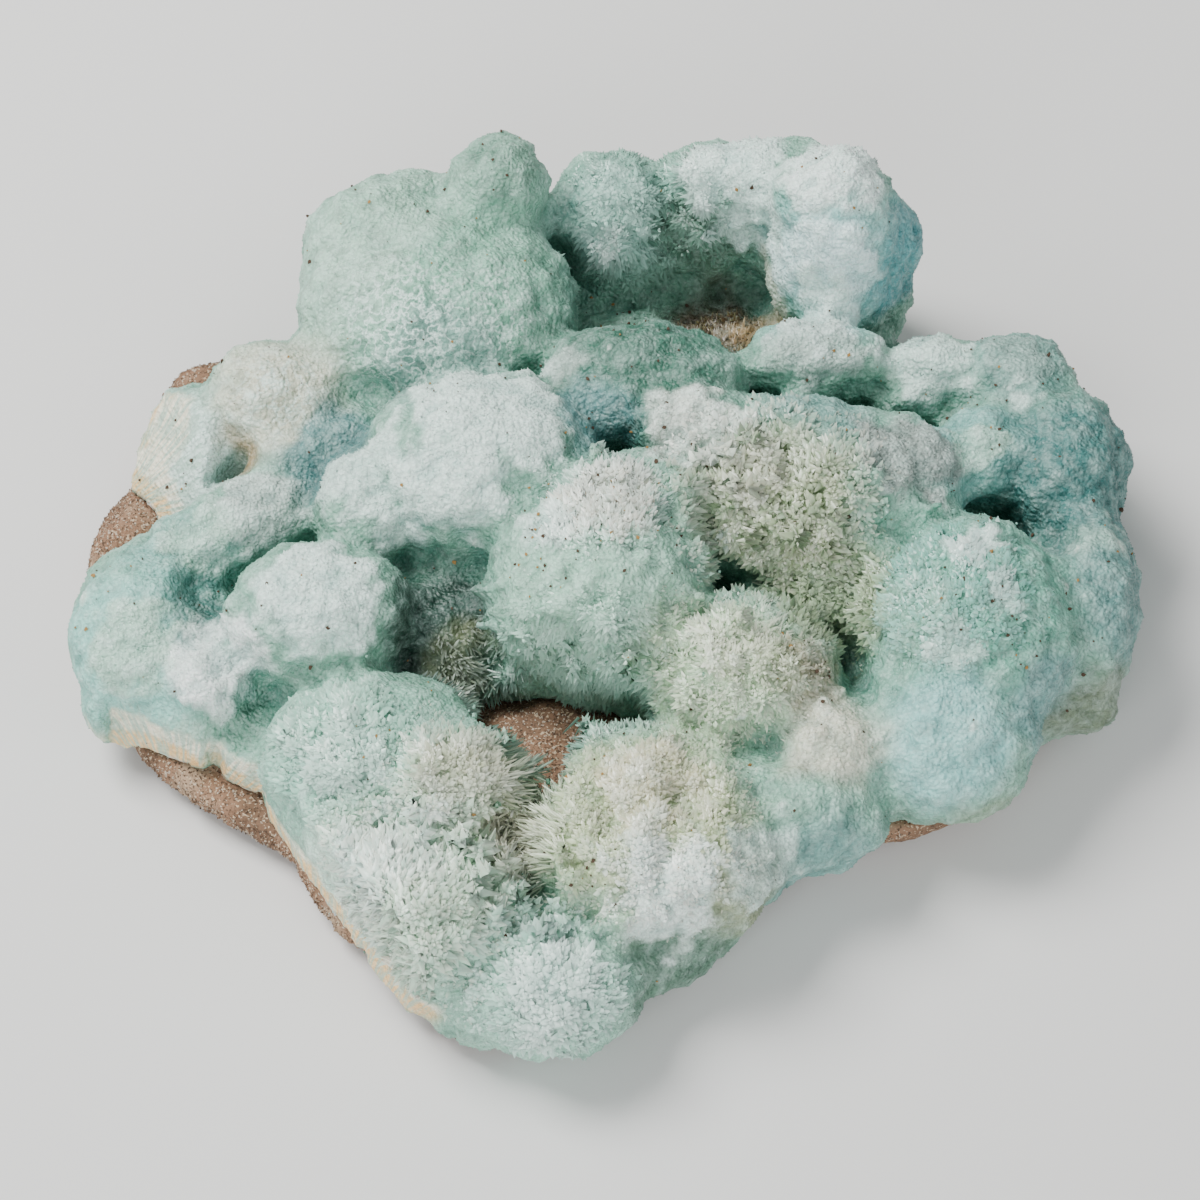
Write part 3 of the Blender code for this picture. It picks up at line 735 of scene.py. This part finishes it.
# Each field of crystals: name, middle and reach in mm, how many tufts and how many in
# each, the least and most length and half width in mm, how flat they are, the way they
# lean, how far a tuft fans out, and the colour of their tips
CRYSTAL_FIELDS = (
    ("crest_chips", (24, 3, 31), 19, 950, 5,
     (0.7, 2.1), (0.45, 1.00), 0.7, (0, -0.2, 0.4), 0.5, CREAM),
    ("crest_flank_chips", (31, -8, 22), 13, 380, 5,
     (0.7, 2.0), (0.40, 0.90), 0.7, (0, -0.2, 0.3), 0.5, LEAF),
    ("low_dome_spikes", (17, -23, 26), 15, 650, 4,
     (0.6, 1.5), (0.30, 0.55), 0.8, (0, -0.1, 0.1), 0.4, CREAM),
    ("centre_skirt", (-2, -21, 22), 16, 900, 4,
     (0.6, 1.6), (0.35, 0.60), 0.8, (0, -0.2, 0.1), 0.4, PALE_MINT),
    ("centre_rim_needles", (-4, -26, 16), 9, 150, 5,
     (1.6, 3.2), (0.16, 0.30), 0.8, (0, -0.6, -0.1), 0.3, PALE_MINT),
    ("centre_cap_chips", (0, -1, 36), 12, 420, 5,
     (0.5, 1.5), (0.35, 0.75), 0.7, (0, 0, 0.3), 0.5, WHITE),
    ("knob_chips", (-20, -40, 26), 13, 520, 5,
     (0.5, 1.5), (0.40, 0.80), 0.8, (0.1, 0, 0.3), 0.5, CREAM),
    ("knob_fringe", (-12, -38, 20), 8, 170, 5,
     (1.8, 3.6), (0.16, 0.30), 0.8, (0.9, 0.1, 0), 0.25, CREAM),
    ("fore_left_chips", (-37, -35, 26), 14, 420, 5,
     (0.5, 1.5), (0.45, 1.00), 0.7, (0, 0, 0.3), 0.5, PALE_MINT),
    ("front_gap_needles", (-10, -48, 19), 8, 190, 5,
     (1.8, 3.6), (0.16, 0.32), 0.8, (-0.6, 0.2, 0.2), 0.25, CREAM),
    ("front_dome_grit", (5, -46, 25), 20, 900, 4,
     (0.4, 1.2), (0.35, 0.70), 0.8, (0, 0, 0.3), 0.5, CREAM),
    ("brush_blades", (-25, -55, 21), 18, 850, 5,
     (0.8, 2.4), (0.50, 1.00), 0.8, (0.3, 0.2, 0.4), 0.4, CREAM),
    ("tip_blades", (-8, -67, 17), 14, 480, 5,
     (0.6, 1.6), (0.50, 1.00), 0.8, (0.1, 0.2, 0.5), 0.5, WHITE),
    ("hollow_blades", (7, 54, 27), 17, 520, 5,
     (0.6, 1.6), (0.30, 0.60), 0.8, (0, -0.3, 0.3), 0.4, MINT),
    ("hollow_floor", (18, 44, 16), 9, 200, 4,
     (0.6, 1.6), (0.24, 0.40), 0.8, (0, -0.2, 0.5), 0.4, BROWN),
    ("grey_gap_needles", (-19, -17, 15), 8, 150, 5,
     (1.6, 3.2), (0.18, 0.32), 0.8, (0.3, -0.5, 0.2), 0.3, GREYWHITE),
    ("aqua_dome_chips", (48, -13, 31), 15, 420, 5,
     (0.4, 1.2), (0.40, 0.90), 0.7, (0, 0, 0.3), 0.5, AQUA),
)

spike = crystal_shape(4, 0, 1.0)
needle = crystal_shape(3, 0.6, 0.78)
for name, middle, reach, tufts, each, length, width, flat, lean, fan, tip_colour in CRYSTAL_FIELDS:
    ragged = 1 + 0.8 * fractal(crust_surface.places, 5 * MM, 2, 11.0)
    weights = near(crust_surface.places, middle, reach) * ragged * (1 - broken)
    weights = np.clip(weights - 0.2, 0, 1) * step(sky, 0.15, 0.4)
    feet, normals, fields = crust_surface.scatter(tufts, weights, rng)
    strong = np.clip(near(feet, middle, reach) * 1.4, 0.4, 1)
    feet, normals, tint, strong = (
        np.repeat(item, each, axis=0) for item in (feet, normals, fields["tint"], strong)
    )
    count = tufts * each
    aside = rng.normal(size=normals.shape) * 0.5
    aside -= normals * np.einsum("ij,ij->i", aside, normals)[:, None]
    tuft_lean = np.repeat(rng.normal(size=(tufts, 3)) * 0.3, each, axis=0)
    axes = normals * 1.2 + np.array(lean) + tuft_lean * 0.8 + aside * fan * 1.5
    grown = rng.random(count) ** 1.6
    lengths = (length[0] + (length[1] - length[0]) * grown) * MM * strong
    widths = (width[0] + (width[1] - width[0]) * grown) * MM * (0.4 + 0.6 * strong)
    roots = tint * vary(rng, count, 0.88, 1.08)[:, None]
    tips = mix(roots, linear(tip_colour), vary(rng, count, 0.1, 0.6))
    shape = needle if width[1] < NEEDLE_LIMIT else spike
    finish_crystals(joined_crystals(
        name, shape, feet + aside * MM - normals * TUFT_SUNK, normals, axes, widths, widths * flat,
        lengths + TUFT_SUNK, roots, tips, rng,
    ), clear_material)

# The sand on the bare rock: quartz and clay grains, pale, brown and dark, that the break
# left standing. Each is still held by the rock, with its foot just under the surface.
SAND_GRAINS = 9000
SAND_HALF_WIDTH = (0.16, 0.36)
SAND_SUNK = 0.08 * MM
SAND_PALE = (214, 202, 184)

rock_surface = Surface(rock.data, tint=rock_tint)
bare = np.array([
    crust_tree.ray_cast(start, (0, 0, 1), 60 * MM)[0] is None
    for start in (rock_surface.places + rock_surface.normals * 0.3 * MM).tolist()
], float) * step(rock_surface.places[:, 2], 0.6 * MM, 1.0 * MM)
feet, normals, fields = rock_surface.scatter(SAND_GRAINS, bare + 0.02, rng)
sizes = vary(rng, SAND_GRAINS, *SAND_HALF_WIDTH) * MM
pick = rng.random(SAND_GRAINS)
tones = mix(fields["tint"], linear(ROCK_DARK), (pick < 0.25) * 0.8)
tones = mix(tones, linear(SAND_PALE), (pick > 0.72) * 0.7)
sand = joined_crystals(
    "sand_grains", grain, feet - normals * SAND_SUNK, normals,
    normals + rng.normal(size=normals.shape) * 0.6, sizes, sizes * 0.8, sizes * 1.3,
    tones * 0.85, tones, rng,
)
sand.data.materials.append(sandy_rock_material())
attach(sand, "root")

# The dirt: dark brown and ochre crumbs of soil, which lie loose on the crust and are caught
# between its crystals. They gather on the middle dome and in a few other places.
DIRT_SPECKS = 700
DIRT_BROWN = (72, 56, 42)
DIRT_OCHRE = (150, 116, 66)
# Where the crumbs gather: the middle, the reach in mm and how much
DIRT_PATCHES = (
    ((0, -2, 37), 8, 9), ((-7, -8, 34), 6, 7), ((52, -17, 31), 10, 3), ((-38, -32, 27), 11, 2),
    ((-46, -42, 22), 6, 2), ((28, 0, 32), 10, 1.5), ((-17, -3, 20), 6, 2),
)
dirt_weights = 0.15 + step(fractal(crust_surface.places, 12 * MM, 2, 8.0), -0.1, 0.5)
for middle, reach, amount in DIRT_PATCHES:
    dirt_weights += near(crust_surface.places, middle, reach) * amount
dirt_weights *= step(crust_normals[:, 2], 0.1, 0.6)
feet, normals, _ = crust_surface.scatter(DIRT_SPECKS, dirt_weights, rng)
sizes = (0.10 + 0.32 * rng.random(DIRT_SPECKS) ** 2) * MM
pick = rng.random(DIRT_SPECKS)
tones = mix(np.tile(linear(DIRT_BROWN), (DIRT_SPECKS, 1)), linear(DIRT_OCHRE), pick > 0.7)
dirt = joined_crystals(
    "dirt_specks", crystal_shape(4, 0.7, 0.7), feet + normals * 0.1 * MM, normals,
    normals + rng.normal(size=normals.shape), sizes, sizes * 0.7, sizes * 1.4, tones, tones, rng,
)


def dirt_material():
    material, nodes, links, shader = new_material("brown_dirt")
    links.new(painted(nodes, "tint"), shader.inputs["Base Color"])
    shader.inputs["Roughness"].default_value = 0.9
    return material


dirt.data.materials.append(dirt_material())
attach(dirt, "root")

# The stage: a plain pale floor that the specimen lies on, three soft studio lights, and
# the camera, which looks down at it from in front.
CAMERA_RISE = math.radians(55)
CAMERA_DISTANCE = 470 * MM
CAMERA_TARGET = Vector((-0.6, -7.4, 20)) * MM
FLOOR_HALF_WIDTH = 1.5
FLOOR_TONE = (0.72, 0.72, 0.71, 1)
STUDIO_TONE = (0.9, 0.93, 0.95, 1)
STUDIO_STRENGTH = 0.36

bm = bmesh.new()
bmesh.ops.create_grid(bm, x_segments=1, y_segments=1, size=FLOOR_HALF_WIDTH)
floor_mesh = bpy.data.meshes.new("floor")
bm.to_mesh(floor_mesh)
bm.free()
floor = bpy.data.objects.new("floor", floor_mesh)
bpy.context.collection.objects.link(floor)
floor_material, _, _, floor_shader = new_material("pale_floor")
floor_shader.inputs["Base Color"].default_value = FLOOR_TONE
floor_shader.inputs["Roughness"].default_value = 0.9
floor_mesh.materials.append(floor_material)


def soft_light(name, place, target, size, power, colour):
    light = bpy.data.lights.new(name, "AREA")
    light.shape = "SQUARE"
    light.size = size
    light.energy = power
    light.color = colour
    obj = bpy.data.objects.new(name, light)
    bpy.context.collection.objects.link(obj)
    aim = (Vector(target) - Vector(place)).to_track_quat("-Z", "Y").to_matrix().to_4x4()
    obj.matrix_world = Matrix.Translation(Vector(place)) @ aim


soft_light("key_light", (-0.45, 0.25, 0.75), (0, 0, 0), 0.45, 13, (1.0, 0.99, 0.97))
soft_light("fill_light", (0.7, -0.4, 0.5), (0, 0, 0), 0.6, 2.2, (0.96, 0.98, 1.0))
soft_light("front_light", (-0.25, -0.8, 0.4), (0, 0, 0), 0.6, 6.2, (1.0, 1.0, 1.0))

world = bpy.data.worlds.new("studio")
bpy.context.scene.world = world
world.use_nodes = True
background = world.node_tree.nodes["Background"]
background.inputs["Color"].default_value = STUDIO_TONE
background.inputs["Strength"].default_value = STUDIO_STRENGTH

camera_data = bpy.data.cameras.new("camera")
camera_data.lens = 100
camera_data.sensor_width = 36
camera_data.clip_start = 0.01
camera = bpy.data.objects.new("camera", camera_data)
bpy.context.collection.objects.link(camera)
towards = Vector((0, math.cos(CAMERA_RISE), -math.sin(CAMERA_RISE)))
camera.matrix_world = (
    Matrix.Translation(CAMERA_TARGET - towards * CAMERA_DISTANCE)
    @ towards.to_track_quat("-Z", "Y").to_matrix().to_4x4()
)
bpy.context.scene.camera = camera
